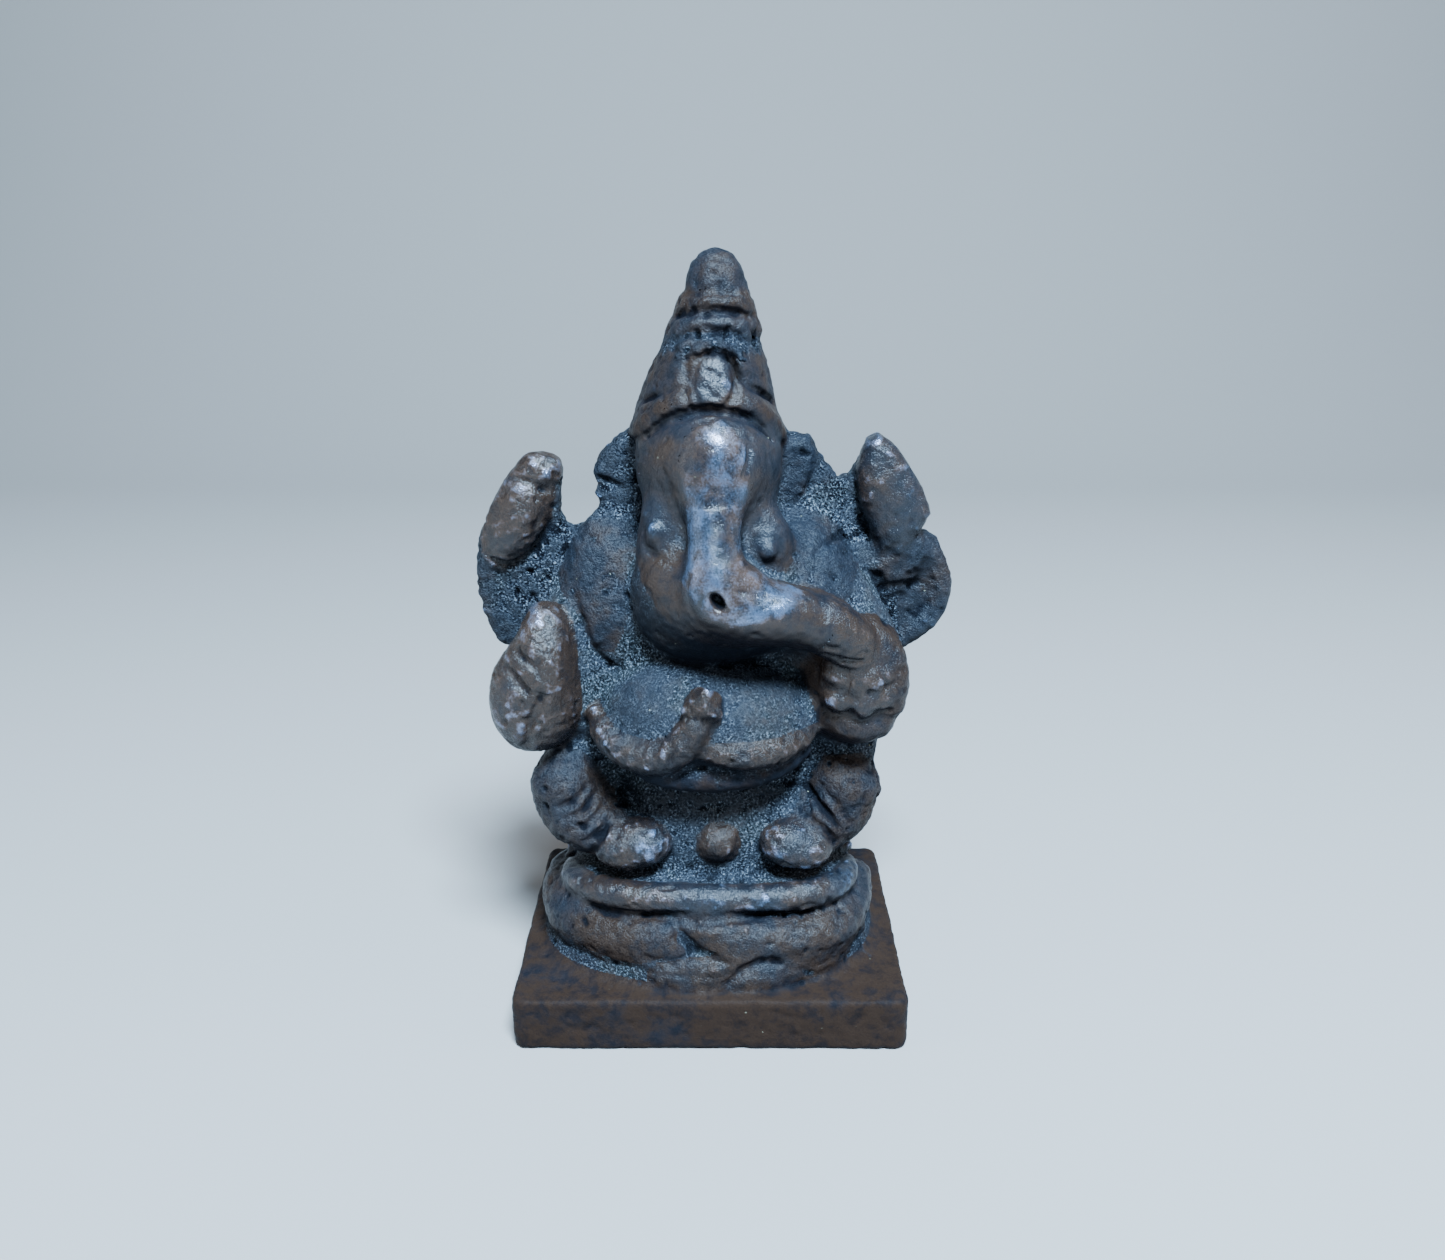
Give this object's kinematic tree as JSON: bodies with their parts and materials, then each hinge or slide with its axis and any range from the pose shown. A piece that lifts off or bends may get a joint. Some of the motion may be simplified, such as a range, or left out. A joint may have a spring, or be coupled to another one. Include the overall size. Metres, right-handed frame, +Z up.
{
  "type": "deity figurine",
  "caption": "Small solid-cast bronze figurine of a seated elephant-headed deity with trunk, raised hands and pointed crown, on a round lotus seat and a rectangular plinth.",
  "frame": {"origin": "middle of the plinth's flat underside, where the figurine stands", "axes": "+Z up through the crown, -Y towards the figure's front, +X towards the viewer's right, which is the figure's left"},
  "size_m": [0.0453, 0.0292, 0.0729],
  "materials": {
    "dark_bronze": "old dark brown and slate patina on cast bronze, fine grain, soft sheen",
    "worn_bronze": "patina rubbed through to warm brown metal on the high points, semi-gloss",
    "dusty_bronze": "rough cast skin with grey-blue dust in its grain, nearly matt"
  },
  "bodies": {
    "root": {"plinth": "dark_bronze", "seat_lower_tier": "dusty_bronze", "seat_upper_tier": "dusty_bronze", "lap": "dusty_bronze", "torso": "dusty_bronze", "head": "dark_bronze", "belly": "dusty_bronze", "chest_collar": "dusty_bronze", "crown_base": "dark_bronze", "crown_neck": "dusty_bronze", "crown_lower_ring": "worn_bronze", "crown_upper_ring": "worn_bronze", "crown_finial": "dark_bronze", "crown_brim": "worn_bronze", "crown_jewel": "worn_bronze", "trunk_root": "worn_bronze", "trunk_curl": "worn_bronze", "right_eye": "worn_bronze", "left_eye": "worn_bronze", "right_leg": "dark_bronze", "left_leg": "dark_bronze", "right_foot": "worn_bronze", "left_foot": "worn_bronze", "sash_knot": "worn_bronze", "right_ear": "dark_bronze", "left_ear": "dark_bronze", "right_arm": "dusty_bronze", "left_arm": "dusty_bronze", "right_front_hand": "worn_bronze", "left_front_hand": "worn_bronze", "trunk_tip": "worn_bronze", "modak": "worn_bronze", "right_axe": "worn_bronze", "left_lotus_bud": "worn_bronze", "left_back_hand": "dark_bronze", "right_web": "dusty_bronze", "left_web": "dusty_bronze", "snake_head": "worn_bronze", "snake_tail": "worn_bronze", "waist_hem": "dusty_bronze", "seat_rim_roll": "worn_bronze", "seat_roll_right": "worn_bronze", "seat_roll_middle": "worn_bronze", "seat_roll_left": "worn_bronze"}
  },
  "joints": []
}
